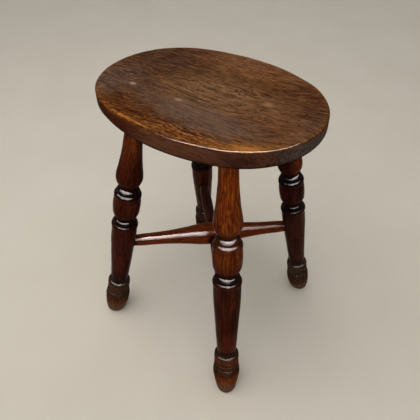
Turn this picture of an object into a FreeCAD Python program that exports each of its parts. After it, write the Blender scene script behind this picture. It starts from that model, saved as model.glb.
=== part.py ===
"""Turned stool: an oval dished seat on four splayed legs, tied by a swelled stretcher and two short ones."""

import FreeCAD
import Part
import math
import os
import Sketcher

from FreeCAD import Placement, Rotation, Vector

doc = FreeCAD.newDocument("turned_stool")

# Driving sizes in millimetres, in groups that follow the object
SIZES = {
    # The whole stool
    "overall_height": 457.0,
    "joint_clearance": 0.15,
    "end_clearance": 0.4,
    "cut_overrun": 8.0,

    # Seat board: an oval drawn with four arcs, hollowed on top
    "seat_length": 326.0,
    "seat_width": 240.0,
    "seat_thickness": 23.5,
    "seat_top_round": 3.5,
    "seat_bottom_round": 6.0,
    "dish_length": 270.0,
    "dish_width": 190.0,
    "dish_depth": 3.5,
    "dish_bowl_radius": 60.0,
    "seat_centre_x": 0.0,
    "seat_centre_y": -5.09,

    # Where each leg's centre line meets the seat and the floor, measured out from the seat's centre
    "front_left_socket_x": 69.0,
    "front_left_socket_y": 67.5,
    "front_left_foot_x": 137.0,
    "front_left_foot_y": 130.5,
    "front_right_socket_x": 75.0,
    "front_right_socket_y": 59.4,
    "front_right_foot_x": 134.4,
    "front_right_foot_y": 134.9,
    "back_left_socket_x": 65.5,
    "back_left_socket_y": 62.5,
    "back_left_foot_x": 121.0,
    "back_left_foot_y": 146.5,
    "back_right_socket_x": 81.0,
    "back_right_socket_y": 69.0,
    "back_right_foot_x": 134.5,
    "back_right_foot_y": 131.5,

    # Leg turning, from the tenon down: lengths along the leg, and the radius where each ends
    "tenon_length": 14.5,
    "tenon_radius": 12.2,
    "tenon_chamfer": 1.0,
    "throat_length": 25.0,
    "throat_radius": 13.0,
    "flare_length": 70.0,
    "flare_radius": 18.9,
    "vase_rise": 15.0,
    "vase_radius": 20.5,
    "vase_fall": 13.0,
    "vase_foot_radius": 16.4,
    "cove_length": 4.5,
    "land_length": 2.5,
    "upper_neck_radius": 13.9,
    "small_bead_length": 8.2,
    "large_bead_length": 10.0,
    "upper_groove_radius": 17.8,
    "upper_quirk_radius": 20.6,
    "barrel_length": 27.0,
    "barrel_radius": 21.4,
    "barrel_fall": 13.0,
    "barrel_foot_radius": 18.0,
    "lower_neck_radius": 15.6,
    "lower_groove_radius": 18.9,
    "lower_quirk_radius": 20.7,
    "shaft_length": 48.5,
    "shaft_radius": 19.9,
    "ankle_radius": 15.6,
    "ankle_length": 8.0,
    "ledge_radius": 16.4,
    "shoulder_length": 5.0,
    "shoulder_radius": 20.0,
    "ring_length": 14.5,
    "ring_groove_radius": 18.2,
    "band_length": 13.0,
    "band_radius": 19.5,
    "instep_length": 18.5,
    "foot_radius": 22.0,
    "toe_radius": 13.8,
    "foot_wear_round": 4.5,

    # How much of the toe each leg keeps above the floor
    "front_left_toe_length": 39.0,
    "front_right_toe_length": 37.5,
    "back_left_toe_length": 39.0,
    "back_right_toe_length": 35.0,

    # Stretchers: a long one, swelled at its middle, and two short ones let into the swelling
    "stretcher_height": 184.0,
    "stretcher_tenon_past_axis": 2.0,
    "stretcher_end_length": 13.0,
    "long_tenon_radius": 9.5,
    "long_waist_radius": 10.5,
    "swell_length": 35.0,
    "swell_radius": 19.3,
    "swell_shoulder_radius": 16.6,
    "short_tenon_radius": 8.5,
    "short_waist_radius": 9.1,
    "short_inner_radius": 8.0,
    "short_inner_tenon": 14.0,
}

# How far each curve stands out from a straight line, as a share of its length; hollows are negative
FLARE_SHARE = -0.018
VASE_RISE_SHARE = 0.024
VASE_FALL_SHARE = 0.066
COVE_SHARE = -0.10
SMALL_BEAD_SHARE = 0.17
LARGE_BEAD_SHARE = 0.20
BARREL_SHARE = 0.030
BARREL_FALL_SHARE = 0.080
SHAFT_SHARE = 0.012
ANKLE_SHARE = -0.05
SHOULDER_SHARE = 0.20
RING_SHARE = 0.07
BAND_SHARE = 0.05
INSTEP_SHARE = 0.04
TOE_SHARE = 0.045
FLANK_SHARE = -0.020
BELLY_SHARE = 0.013

# The radius of the seat's end arcs, as a share of half its width
END_ARC_SHARE = 0.917

# How thick each leg came off the lathe, as a share of the pattern: the back pair is slimmer
GIRTH_SHARES = {
    "front_left": 1.0,
    "front_right": 1.0,
    "back_left": 0.94,
    "back_right": 0.945,
}

# The side of the seat's centre that each leg stands on, along X and along Y
LEG_SIDES = {
    "front_left": (-1, -1),
    "front_right": (1, -1),
    "back_left": (-1, 1),
    "back_right": (1, 1),
}

sheet = doc.addObject("Spreadsheet::Sheet", "sizes")
for row, (alias, value) in enumerate(SIZES.items(), start=1):
    sheet.set("A%d" % row, alias.replace("_", " "))
    sheet.set("B%d" % row, str(value))
    sheet.setAlias("B%d" % row, alias)
doc.recompute()


class Size:
    """A length with its formula in the sheet, so that a drawing can be bound to it."""

    def __init__(self, number, formula):
        self.number = number
        self.formula = formula

    def __add__(self, other):
        return Size(self.number + other.number, "(%s + %s)" % (self.formula, other.formula))

    def __sub__(self, other):
        return Size(self.number - other.number, "(%s - %s)" % (self.formula, other.formula))

    def __mul__(self, share):
        return Size(self.number * share, "(%s * %r)" % (self.formula, share))


NOTHING = Size(0.0, "0")


def size(alias):
    return Size(float(sheet.get(alias)), "sizes." + alias)


def mm(alias):
    return float(sheet.get(alias))


def distance(*steps):
    """The straight distance over steps taken square to each other."""
    number = math.sqrt(sum(step.number ** 2 for step in steps))
    formula = "sqrt(%s)" % " + ".join("(%s)^2" % step.formula for step in steps)
    return Size(number, formula)


def add_body(name, placement):
    body = doc.addObject("PartDesign::Body", name)
    body.Label = name
    body.Placement = placement
    return body


def add_sketch(body, name, role, offset=None):
    """A sketch on one of the body's own origin planes, moved off it by the offset."""
    sketch = body.newObject("Sketcher::SketchObject", name)
    plane = [item for item in body.Origin.OriginFeatures if item.Role == role][0]
    sketch.AttachmentSupport = [(plane, "")]
    sketch.MapMode = "FlatFace"
    if offset is not None:
        sketch.AttachmentOffset = offset
    return sketch


def bind(sketch, kind, places, length):
    """Add one dimension to a sketch and tie it to the sheet."""
    index = sketch.addConstraint(Sketcher.Constraint(kind, *places, length.number))
    sketch.setExpression("Constraints[%d]" % index, length.formula)


def draw_turning(sketch, start, steps, along_x=False):
    """Draw half of a turned outline and close it along the axis.

    The start is a station on the axis. Each step gives the length along the axis, the radius
    that it ends at, and how far its curve stands out of the straight line, or nothing.
    """
    def point(station, radius):
        return Vector(station, radius, 0) if along_x else Vector(radius, station, 0)

    station_kind, radius_kind = ("DistanceX", "DistanceY") if along_x else ("DistanceY", "DistanceX")
    station, radius = start, NOTHING
    here = point(station.number, radius.number)
    first_point = here
    last = None
    for length, next_radius, rise in steps:
        next_station = station + length
        there = point(next_station.number, next_radius.number)
        if rise is not NOTHING:
            along = (there - here).normalize()
            outward = Vector(-along.y, along.x, 0) if along_x else Vector(along.y, -along.x, 0)
            middle = (here + there) * 0.5 + outward * rise.number
            line = sketch.addGeometry(Part.Arc(here, middle, there))
            ends = arc_ends(sketch, line, here)
            bind(sketch, "Radius", (line,), bend_radius(distance(length, next_radius - radius), rise))
        else:
            line = sketch.addGeometry(Part.LineSegment(here, there))
            ends = (1, 2)
        if last is None:
            first = (line, ends[0])
            sketch.addConstraint(Sketcher.Constraint("PointOnObject", line, ends[0], -1 if along_x else -2))
            bind(sketch, station_kind, (-1, 1, line, ends[0]), start)
        else:
            sketch.addConstraint(Sketcher.Constraint("Coincident", *last, line, ends[0]))
        bind(sketch, radius_kind, (-1, 1, line, ends[1]), next_radius)
        if length is NOTHING:
            kind = "Vertical" if along_x else "Horizontal"
            sketch.addConstraint(Sketcher.Constraint(kind, line))
        else:
            bind(sketch, station_kind, (line, ends[0], line, ends[1]), length)
        last = (line, ends[1])
        station, radius, here = next_station, next_radius, there
    foot = point(station.number, 0)
    across = sketch.addGeometry(Part.LineSegment(here, foot))
    axis = sketch.addGeometry(Part.LineSegment(foot, first_point))
    sketch.addConstraint(Sketcher.Constraint("Coincident", *last, across, 1))
    sketch.addConstraint(Sketcher.Constraint("Vertical" if along_x else "Horizontal", across))
    sketch.addConstraint(Sketcher.Constraint("PointOnObject", across, 2, -1 if along_x else -2))
    sketch.addConstraint(Sketcher.Constraint("Coincident", across, 2, axis, 1))
    sketch.addConstraint(Sketcher.Constraint("Coincident", axis, 2, *first))


def bend_radius(chord, rise):
    """The radius of an arc over a chord that stands out from it by a rise."""
    number = chord.number ** 2 / (8 * abs(rise.number)) + abs(rise.number) / 2
    formula = "%s^2 / (8 * abs(%s)) + abs(%s) / 2" % (chord.formula, rise.formula, rise.formula)
    return Size(number, formula)


def arc_ends(sketch, line, here):
    """The numbers of an arc's end points, the one at this place first."""
    start_is_here = (sketch.getPoint(line, 1) - here).Length < (sketch.getPoint(line, 2) - here).Length
    return (1, 2) if start_is_here else (2, 1)


def turn(body, sketch, axis):
    """Spin a half outline into a solid about one of its sketch's own axes."""
    spin = body.newObject("PartDesign::Revolution", "Turning")
    spin.Profile = sketch
    spin.ReferenceAxis = (sketch, [axis])
    spin.Angle = 360
    sketch.Visibility = False
    return spin


def bore(body, name, mouth, inward, radius, depth):
    """A flat-ended hole, drawn at its blind end and cut back out past its mouth."""
    blind_end = mouth + inward * depth.number
    in_body = body.Placement.inverse().multiply(Placement(blind_end, Rotation(Vector(0, 0, 1), inward)))
    sketch = add_sketch(body, name + "_circle", "XY_Plane", in_body)
    ring = sketch.addGeometry(Part.Circle(Vector(0, 0, 0), Vector(0, 0, 1), radius.number))
    sketch.addConstraint(Sketcher.Constraint("Coincident", ring, 3, -1, 1))
    bind(sketch, "Radius", (ring,), radius)
    cut = body.newObject("PartDesign::Pocket", name)
    cut.Profile = sketch
    cut.Type = "Length"
    cut.setExpression("Length", (depth + size("cut_overrun")).formula)
    sketch.Visibility = False
    check_cut(cut)


def check_cut(cut):
    """A cut that misses its piece shows no error, so the volume before and after is compared."""
    doc.recompute()
    check_states()
    if cut.Shape.Volume >= cut.BaseFeature.Shape.Volume:
        raise RuntimeError(cut.Name + " cut nothing")


class Leg:
    """One leg's centre line, from its socket in the seat's underside to the floor."""

    def __init__(self, name):
        side_x, side_y = LEG_SIDES[name]
        out_x = size(name + "_foot_x") - size(name + "_socket_x")
        out_y = size(name + "_foot_y") - size(name + "_socket_y")
        under_seat = size("overall_height") - size("seat_thickness")
        self.name = "leg_" + name
        self.girth = GIRTH_SHARES[name]
        self.length = distance(out_x, out_y, under_seat)
        self.toe_length = size(name + "_toe_length")
        self.socket = Vector(mm("seat_centre_x") + side_x * mm(name + "_socket_x"),
                             mm("seat_centre_y") + side_y * mm(name + "_socket_y"), under_seat.number)
        self.foot = Vector(mm("seat_centre_x") + side_x * mm(name + "_foot_x"),
                           mm("seat_centre_y") + side_y * mm(name + "_foot_y"), 0)
        self.down = (self.foot - self.socket).normalize()

    def at_height(self, height):
        return self.socket + (self.foot - self.socket) * (1 - height / self.socket.z)


def straight(length, radius):
    return size(length), size(radius), NOTHING


def curve(length, radius, share):
    return size(length), size(radius), size(length) * share


def leg_outline(leg):
    """The turner's outline of a leg, from the tenon's end to below the floor."""
    chamfer = size("tenon_chamfer")
    toe_length = leg.toe_length + size("cut_overrun")
    tenon = [
        (NOTHING, size("tenon_radius") - chamfer, NOTHING),
        straight("tenon_chamfer", "tenon_radius"),
        (size("tenon_length") - chamfer, size("tenon_radius"), NOTHING),
    ]
    top = [
        straight("throat_length", "throat_radius"),
        curve("flare_length", "flare_radius", FLARE_SHARE),
        curve("vase_rise", "vase_radius", VASE_RISE_SHARE),
        curve("vase_fall", "vase_foot_radius", VASE_FALL_SHARE),
        curve("cove_length", "upper_neck_radius", COVE_SHARE),
        straight("land_length", "upper_neck_radius"),
        curve("small_bead_length", "upper_groove_radius", SMALL_BEAD_SHARE),
        curve("large_bead_length", "upper_quirk_radius", LARGE_BEAD_SHARE),
        curve("barrel_length", "barrel_radius", BARREL_SHARE),
        curve("barrel_fall", "barrel_foot_radius", BARREL_FALL_SHARE),
        curve("cove_length", "lower_neck_radius", COVE_SHARE),
        straight("land_length", "lower_neck_radius"),
        curve("small_bead_length", "lower_groove_radius", SMALL_BEAD_SHARE),
        curve("large_bead_length", "lower_quirk_radius", LARGE_BEAD_SHARE),
        curve("shaft_length", "shaft_radius", SHAFT_SHARE),
    ]
    bottom = [
        curve("ankle_length", "ledge_radius", ANKLE_SHARE),
        curve("shoulder_length", "shoulder_radius", SHOULDER_SHARE),
        curve("ring_length", "ring_groove_radius", RING_SHARE),
        curve("band_length", "band_radius", BAND_SHARE),
        curve("instep_length", "foot_radius", INSTEP_SHARE),
        (toe_length, size("toe_radius"), toe_length * TOE_SHARE),
    ]
    taper_length = leg.length + size("cut_overrun")
    for length, _, _ in top + bottom:
        taper_length = taper_length - length
    turned = top + [(taper_length, size("ankle_radius"), NOTHING)] + bottom
    return tenon + [(length, radius * leg.girth, rise) for length, radius, rise in turned]


def make_leg(leg, stretcher_direction, stretcher_tenon):
    body = add_body(leg.name, Placement(leg.socket, Rotation(Vector(0, 0, 1), leg.down)))
    outline = add_sketch(body, leg.name + "_outline", "XZ_Plane")
    draw_turning(outline, NOTHING - size("tenon_length"), leg_outline(leg))
    turn(body, outline, "V_Axis")
    saw_foot_level(body, leg)
    joint = leg.at_height(mm("stretcher_height"))
    depth = size("stretcher_tenon_past_axis") + size("end_clearance")
    radius = size(stretcher_tenon) + size("joint_clearance")
    reach = size("lower_quirk_radius")
    mouth = joint - stretcher_direction * reach.number
    bore(body, leg.name + "_mortise", mouth, stretcher_direction, radius, depth + reach)
    return body


def saw_foot_level(body, leg):
    """Saw the foot off level with the floor and round its worn edge."""
    on_floor = body.Placement.inverse().multiply(Placement(leg.foot, Rotation()))
    sketch = add_sketch(body, leg.name + "_floor_circle", "XY_Plane", on_floor)
    ring = sketch.addGeometry(Part.Circle(Vector(0, 0, 0), Vector(0, 0, 1), mm("foot_radius")))
    sketch.addConstraint(Sketcher.Constraint("Coincident", ring, 3, -1, 1))
    bind(sketch, "Radius", (ring,), size("foot_radius") + size("cut_overrun"))
    saw = body.newObject("PartDesign::Pocket", leg.name + "_floor_saw")
    saw.Profile = sketch
    saw.Type = "Length"
    saw.setExpression("Length", (size("cut_overrun") * 3).formula)
    sketch.Visibility = False
    check_cut(saw)
    edges = []
    for number, edge in enumerate(saw.Shape.Edges, start=1):
        placed = edge.copy()
        placed.Placement = body.Placement.multiply(placed.Placement)
        if abs(placed.BoundBox.ZMax) < mm("joint_clearance"):
            edges.append("Edge%d" % number)
    wear = body.newObject("PartDesign::Fillet", leg.name + "_worn_edge")
    wear.Base = (saw, edges)
    wear.setExpression("Radius", size("foot_wear_round").formula)
    doc.recompute()


def add_stretcher(name, start, end, steps):
    """A turned stretcher whose own X axis runs from one leg's centre line to its other end."""
    along = (end - start).normalize()
    body = add_body(name, Placement(start, Rotation(Vector(1, 0, 0), along)))
    outline = add_sketch(body, name + "_outline", "XZ_Plane")
    draw_turning(outline, NOTHING - size("stretcher_tenon_past_axis"), steps, along_x=True)
    turn(body, outline, "H_Axis")
    return body


def reach(start, end):
    length = (end - start).Length
    return Size(length, "%r" % length)


def leg_tenon(radius):
    """A stretcher's tenon from its chamfered end, past the leg's centre line, to the leg's face."""
    chamfer = size("tenon_chamfer")
    length = size("stretcher_tenon_past_axis") + size("lower_quirk_radius")
    return [
        (NOTHING, radius - chamfer, NOTHING),
        (chamfer, radius, NOTHING),
        (length - chamfer, radius, NOTHING),
    ]


def make_long_stretcher(near, far, crossing, short_direction):
    """The stretcher that runs from leg to leg, with a blind mortise in each side of its swelling."""
    taken = size("lower_quirk_radius") + size("stretcher_end_length") + size("swell_length")
    near_flank = reach(near, crossing) - taken
    far_flank = reach(crossing, far) - taken
    swell_rise = size("swell_radius") - size("swell_shoulder_radius")
    chamfer = size("tenon_chamfer")
    far_tenon = size("stretcher_tenon_past_axis") + size("lower_quirk_radius") - chamfer
    body = add_stretcher("stretcher_long", near, far, leg_tenon(size("long_tenon_radius")) + [
        straight("stretcher_end_length", "long_waist_radius"),
        (near_flank, size("swell_shoulder_radius"), near_flank * FLANK_SHARE),
        (size("swell_length") * 2, size("swell_shoulder_radius"), swell_rise),
        (far_flank, size("long_waist_radius"), far_flank * FLANK_SHARE),
        straight("stretcher_end_length", "long_tenon_radius"),
        (far_tenon, size("long_tenon_radius"), NOTHING),
        (chamfer, size("long_tenon_radius") - chamfer, NOTHING),
    ])
    depth = size("short_inner_tenon") + size("end_clearance")
    radius = size("short_inner_radius") + size("joint_clearance")
    for side, outward in (("front", short_direction * -1), ("back", short_direction)):
        mouth = crossing + outward * mm("swell_radius")
        bore(body, side + "_mortise", mouth, outward * -1, radius, depth)
    return body


def make_short_stretcher(name, leg_joint, crossing):
    """A slim stretcher from a leg to the long one, a little fuller at its middle."""
    chamfer = size("tenon_chamfer")
    belly = reach(leg_joint, crossing) - size("lower_quirk_radius") - size("stretcher_end_length")
    belly = belly - size("swell_radius")
    return add_stretcher(name, leg_joint, crossing, leg_tenon(size("short_tenon_radius")) + [
        straight("stretcher_end_length", "short_waist_radius"),
        (belly, size("short_inner_radius"), belly * BELLY_SHARE),
        (size("short_inner_tenon") - chamfer, size("short_inner_radius"), NOTHING),
        (chamfer, size("short_inner_radius") - chamfer, NOTHING),
    ])


def make_seat(legs):
    underside = mm("overall_height") - mm("seat_thickness")
    body = add_body("seat", Placement(Vector(mm("seat_centre_x"), mm("seat_centre_y"), underside), Rotation()))
    board = saw_oval_board(body)
    ease_edges(body, board)
    hollow_top(body)
    for leg in legs:
        depth = size("tenon_length") + size("end_clearance")
        radius = size("tenon_radius") + size("joint_clearance")
        bore(body, leg.name + "_socket", leg.socket, leg.down * -1, radius, depth)
    return body


def saw_oval_board(body):
    """The oval board: two end arcs and two flatter side arcs, all tangent."""
    half_length = mm("seat_length") / 2
    half_width = mm("seat_width") / 2
    end_arc = size("seat_width") * (END_ARC_SHARE / 2)
    end_radius = end_arc.number
    end_centre = half_length - end_radius
    side_radius = (end_centre ** 2 + half_width ** 2 - end_radius ** 2) / (2 * (half_width - end_radius))
    side_centre = side_radius - half_width
    lean = math.atan2(side_centre, end_centre)
    sketch = add_sketch(body, "seat_outline", "XY_Plane")
    quarters = []
    for turn_angle, centre, radius, spread in (
            (0, Vector(end_centre, 0, 0), end_radius, lean),
            (math.pi / 2, Vector(0, -side_centre, 0), side_radius, math.pi / 2 - lean),
            (math.pi, Vector(-end_centre, 0, 0), end_radius, lean),
            (-math.pi / 2, Vector(0, side_centre, 0), side_radius, math.pi / 2 - lean)):
        circle = Part.Circle(centre, Vector(0, 0, 1), radius)
        arc = Part.ArcOfCircle(circle, turn_angle - spread, turn_angle + spread)
        quarters.append(sketch.addGeometry(arc))
    right, back, left, front = quarters
    for one, other in ((right, back), (back, left), (left, front), (front, right)):
        sketch.addConstraint(Sketcher.Constraint("Tangent", one, 2, other, 1))
    sketch.addConstraint(Sketcher.Constraint("PointOnObject", right, 3, -1))
    sketch.addConstraint(Sketcher.Constraint("Symmetric", right, 3, left, 3, -1, 1))
    bind(sketch, "Radius", (right,), end_arc)
    sketch.addConstraint(Sketcher.Constraint("Equal", right, left))
    sketch.addConstraint(Sketcher.Constraint("Equal", back, front))
    end_out = size("seat_length") * 0.5 - end_arc
    bind(sketch, "DistanceX", (-1, 1, right, 3), end_out)
    side_formula = "(%s^2 + (sizes.seat_width / 2)^2 - %s^2) / (sizes.seat_width - 2 * %s)"
    side_formula = side_formula % (end_out.formula, end_arc.formula, end_arc.formula)
    bind(sketch, "Radius", (back,), Size(side_radius, side_formula))
    board = body.newObject("PartDesign::Pad", "board")
    board.Profile = sketch
    board.Type = "Length"
    board.setExpression("Length", size("seat_thickness").formula)
    sketch.Visibility = False
    doc.recompute()
    return board


def rim_edges(shape, height):
    """The names of the edges that lie flat at one height."""
    near = mm("joint_clearance")
    return ["Edge%d" % number for number, edge in enumerate(shape.Edges, start=1)
            if abs(edge.BoundBox.ZMin - height) < near and abs(edge.BoundBox.ZMax - height) < near]


def ease_edges(body, board):
    top = body.newObject("PartDesign::Fillet", "top_round")
    top.Base = (board, rim_edges(board.Shape, mm("seat_thickness")))
    top.setExpression("Radius", size("seat_top_round").formula)
    doc.recompute()
    under = body.newObject("PartDesign::Fillet", "under_round")
    under.Base = (top, rim_edges(top.Shape, 0))
    under.setExpression("Radius", size("seat_bottom_round").formula)
    doc.recompute()


def hollow_top(body):
    """The shallow hollow that the sitter meets: the cap of a wide flat ellipsoid."""
    lift = mm("dish_bowl_radius") - mm("dish_depth")
    dish = body.newObject("PartDesign::SubtractiveEllipsoid", "dish")
    rim_share = "sqrt(1 - ((sizes.dish_bowl_radius - sizes.dish_depth) / sizes.dish_bowl_radius)^2)"
    dish.setExpression("Radius1", "sizes.dish_bowl_radius")
    dish.setExpression("Radius2", "sizes.dish_length / 2 / %s" % rim_share)
    dish.setExpression("Radius3", "sizes.dish_width / 2 / %s" % rim_share)
    plane = [item for item in body.Origin.OriginFeatures if item.Role == "XY_Plane"][0]
    dish.AttachmentSupport = [(plane, "")]
    dish.MapMode = "FlatFace"
    dish.AttachmentOffset = Placement(Vector(0, 0, mm("seat_thickness") + lift), Rotation())
    check_cut(dish)


def crossing_point(start_a, end_a, start_b, end_b):
    """Where two level lines at one height cross, seen from above."""
    run_a = end_a - start_a
    run_b = end_b - start_b
    between = start_b - start_a
    share = (between.x * run_b.y - between.y * run_b.x) / (run_a.x * run_b.y - run_a.y * run_b.x)
    return start_a + run_a * share


def check_states():
    for item in doc.Objects:
        if "Invalid" in item.State or "Error" in item.State:
            raise RuntimeError("%s failed: %s" % (item.Name, item.getStatusString()))


def write_parts(bodies):
    """Check every object of the document, then write one file for each piece."""
    doc.recompute()
    check_states()
    os.makedirs("parts", exist_ok=True)
    for body in bodies:
        if body.Shape.isNull() or not body.Shape.isValid():
            raise RuntimeError(body.Label + " has no valid shape")
        body.Shape.exportStep("parts/%s.step" % body.Label)
        print(body.Label, round(body.Shape.Volume), body.Shape.optimalBoundingBox(False))


legs = {name: Leg(name) for name in LEG_SIDES}
joints = {name: leg.at_height(mm("stretcher_height")) for name, leg in legs.items()}
crossing = crossing_point(joints["front_left"], joints["back_right"], joints["front_right"], joints["back_left"])
long_direction = (joints["back_right"] - joints["front_left"]).normalize()
short_direction = (joints["back_left"] - joints["front_right"]).normalize()

pieces = [
    make_seat(legs.values()),
    make_leg(legs["front_left"], long_direction * -1, "long_tenon_radius"),
    make_leg(legs["front_right"], short_direction * -1, "short_tenon_radius"),
    make_leg(legs["back_left"], short_direction, "short_tenon_radius"),
    make_leg(legs["back_right"], long_direction, "long_tenon_radius"),
    make_long_stretcher(joints["front_left"], joints["back_right"], crossing, short_direction),
    make_short_stretcher("stretcher_short_front", joints["front_right"], crossing),
    make_short_stretcher("stretcher_short_back", joints["back_left"], crossing),
]
write_parts(pieces)
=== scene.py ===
import math

import bmesh
import bpy
import numpy as np
from mathutils import Matrix, Vector


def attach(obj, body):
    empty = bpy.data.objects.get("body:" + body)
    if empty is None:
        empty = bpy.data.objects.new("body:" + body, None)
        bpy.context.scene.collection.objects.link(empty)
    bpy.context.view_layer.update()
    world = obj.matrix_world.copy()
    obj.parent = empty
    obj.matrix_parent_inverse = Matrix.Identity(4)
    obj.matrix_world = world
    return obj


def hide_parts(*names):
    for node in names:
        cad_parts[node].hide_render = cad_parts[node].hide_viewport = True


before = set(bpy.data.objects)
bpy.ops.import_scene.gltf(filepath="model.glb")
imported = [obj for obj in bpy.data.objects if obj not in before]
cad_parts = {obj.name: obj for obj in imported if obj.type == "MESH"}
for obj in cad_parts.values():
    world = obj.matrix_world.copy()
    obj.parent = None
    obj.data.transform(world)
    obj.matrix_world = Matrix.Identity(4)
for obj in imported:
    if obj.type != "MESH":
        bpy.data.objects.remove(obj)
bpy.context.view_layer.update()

MM = 0.001

# Seat board
OVERALL_HEIGHT = 457.0 * MM
SEAT_THICKNESS = 23.5 * MM
UNDERSIDE = OVERALL_HEIGHT - SEAT_THICKNESS
SEAT_CENTRE = Vector((0.0, -5.09 * MM, 0.0))
SEAT_LENGTH = 326.0 * MM
SEAT_WIDTH = 240.0 * MM
END_ARC_SHARE = 0.917
UNDER_ROUND = 6.0 * MM
DISH_LENGTH = 270.0 * MM
DISH_WIDTH = 190.0 * MM
DISH_DEPTH = 3.5 * MM
BOWL_RADIUS = 60.0 * MM
RAISED_SHARE = 0.3
ARRIS_REACH = 1.5 * MM
LEAN_CURVE = 1.4

# How hand work and wear changed the board's edge, each value at a bearing in degrees from its right
# end: how far the side leans in, how far the rim is raised, the rounding of the top edge and the
# outline's swell, all in mm. Then how much the edge is rubbed to a shine, how golden the rim is, how
# far in mm that gold reaches inward, and how golden the arris itself is
RIM_LEAN = ((0, 0.3), (225, 0.3), (239, 0.6), (252, 3.9), (266, 5.0), (280, 2.0), (287, 1.2),
            (302, 2.6), (312, 1.8), (325, 2.6), (335, 0.3), (346, 0.8), (356, 0.3))
RIM_RAISE = ((0, 0.0), (235, 0.0), (252, 1.0), (340, 1.0), (352, 0.0))
RIM_ROUND = ((0, 3.0), (20, 5.0), (180, 5.5), (225, 4.0), (245, 2.2), (285, 1.6), (345, 1.5))
RIM_SWELL = ((0, 0.0), (185, 0.0), (203, 1.4), (216, 0.0), (228, -0.7), (245, 0.0))
RIM_SHINE = ((0, 0.1), (20, 0.0), (274, 0.0), (288, 1.0), (340, 1.0), (352, 0.2))
RIM_GOLD = ((0, 0.05), (180, 0.05), (205, 0.1), (230, 0.1), (250, 0.2), (285, 0.35), (312, 0.6),
            (318, 1.0), (330, 0.9), (337, 0.3), (350, 0.1))
RIM_GOLD_REACH = ((0, 5.0), (200, 5.0), (240, 6.0), (300, 9.0), (312, 10.0), (321, 16.0),
                  (332, 12.0), (345, 7.0))
ARRIS_GOLD = ((0, 0.1), (228, 0.1), (241, 0.8), (268, 0.85), (280, 0.1), (340, 0.1), (350, 0.05))

# Worn and stained patches of the seat's top, and one painted sheen: colour, centre and reach along and across
# in mm, strength
SEAT_PATCHES = (
    ("#7c5a3c", (10, -5), (120, 80), 0.9),
    ("#38271f", (-108, 42), (92, 68), 0.9),
    ("#80563a", (10, 90), (120, 45), 0.8),
    ("#7c4e24", (50, 72), (60, 35), 0.6),
    ("#52301c", (100, 60), (60, 40), 0.8),
    ("#462816", (145, 35), (60, 55), 0.8),
    ("#785236", (95, -5), (65, 50), 0.7),
    # Painted sheen: this grey patch in the hollow stands in for its reflection of the light
    ("#665244", (30, -62), (130, 38), 0.7),
    ("#54423a", (-128, -48), (60, 70), 0.9),
    ("#584638", (-76, -43), (56, 40), 0.5),
    ("#5a2e14", (-62, -98), (95, 20), 0.9),
    ("#985e2a", (35, -106), (100, 18), 0.9),
    ("#9c6224", (112, -88), (36, 14), 0.9),
    ("#704422", (140, -42), (45, 38), 0.7),
)

# Small marks in the top, in the same order: pale worn spots, a shake, two knots and black flecks
SEAT_MARKS = (
    ("#a88e70", (-95, -47), (7, 5), 0.8),
    ("#98785a", (-19, -43), (8, 5), 0.8),
    ("#967450", (82, 11), (10, 8), 0.6),
    ("#100705", (-89, -79.5), (15, 2.6), 1.0),
    ("#22160f", (0, -25), (28, 2.4), 0.9),
    ("#24120a", (70, 50), (9, 6), 0.8),
    ("#1c0e08", (-113, 76), (10, 5), 0.8),
    ("#0e0604", (37, -99), (8, 2.2), 1.0),
    ("#0e0604", (96, -80), (9, 2.2), 1.0),
    ("#140a06", (16, -101), (5, 2.2), 0.9),
)

# Old stains of the board's side, in the same order
SIDE_PATCHES = (
    ("#3a170a", (-70, -110), (90, 60), 0.8),
    ("#5e3a28", (50, -125), (80, 40), 0.7),
    ("#463a30", (-118, -78), (44, 36), 0.8),
    ("#50463e", (165, -20), (50, 90), 0.9),
)

# Each leg's side of the seat, its centre line's socket and foot measured out from the seat's centre,
# its girth as a share of the pattern and the length of its toe. The hand that turned them let each
# ring sit a little lower, at its top and at its bottom, and one has all its turning higher up (lift).
# Then the fullness of the toe, how black the two necks are laid as painted shade, the bearing from the
# camera's side where the polish is laid warmest, partly by wear and partly as painted light, how dusty
# it is, how much gloss its foot's ring has kept, how much of that warmth its other side keeps under its
# painted shade, how dull it is below the second neck, and how far it is worn in twelve places from the
# seat to the toe
LEGS = {
    "leg_front_left": dict(
        side=(-1, -1), socket=(69.0, 67.5), foot=(137.0, 130.5), girth=1.0, toe=39.0, ring_low=(2.4, 2.0),
        lift=0.0, toe_share=0.045, black=(0.85, 0.9), warm_turn=-14, dusty=1.3, ring_polish=0.8,
        cool_side=0.15, dull=0.0, worn=(0.45, 0.42, 0.08, 0.05, 0.12, 0.05, 0.05, 0.05, 0.0, 0.05, 0.2, 1.0)),
    "leg_front_right": dict(
        side=(1, -1), socket=(75.0, 59.4), foot=(134.4, 134.9), girth=1.0, toe=37.5, ring_low=(3.4, 1.8),
        lift=0.0, toe_share=0.012, black=(0.55, 0.8), warm_turn=22, dusty=0.9, ring_polish=0.25,
        cool_side=0.5, dull=0.0, worn=(1.0, 1.0, 0.65, 0.45, 0.4, 0.2, 0.05, 0.05, 0.1, 0.4, 0.5, 0.9)),
    "leg_back_left": dict(
        side=(-1, 1), socket=(65.5, 62.5), foot=(121.0, 146.5), girth=0.94, toe=39.0, ring_low=(3.0, 1.5),
        lift=0.0, toe_share=0.045, black=(1.0, 1.0), warm_turn=20, dusty=0.8, ring_polish=0.6,
        cool_side=0.3, dull=0.0, worn=(0.1, 0.05, 0.0, 0.05, 0.05, 0.1, 0.15, 0.05, 0.05, 0.1, 0.1, 0.1)),
    "leg_back_right": dict(
        side=(1, 1), socket=(81.0, 69.0), foot=(134.5, 131.5), girth=0.945, toe=35.0, ring_low=(4.2, 1.5),
        lift=2.0, toe_share=0.045, black=(0.95, 0.95), warm_turn=72, dusty=1.5, ring_polish=0.7,
        cool_side=0.0, dull=0.17, worn=(0.42, 0.42, 0.42, 0.3, 0.0, 0.0, 0.05, 0.05, 0.05, 0.0, 0.0, 0.1)),
}

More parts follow.
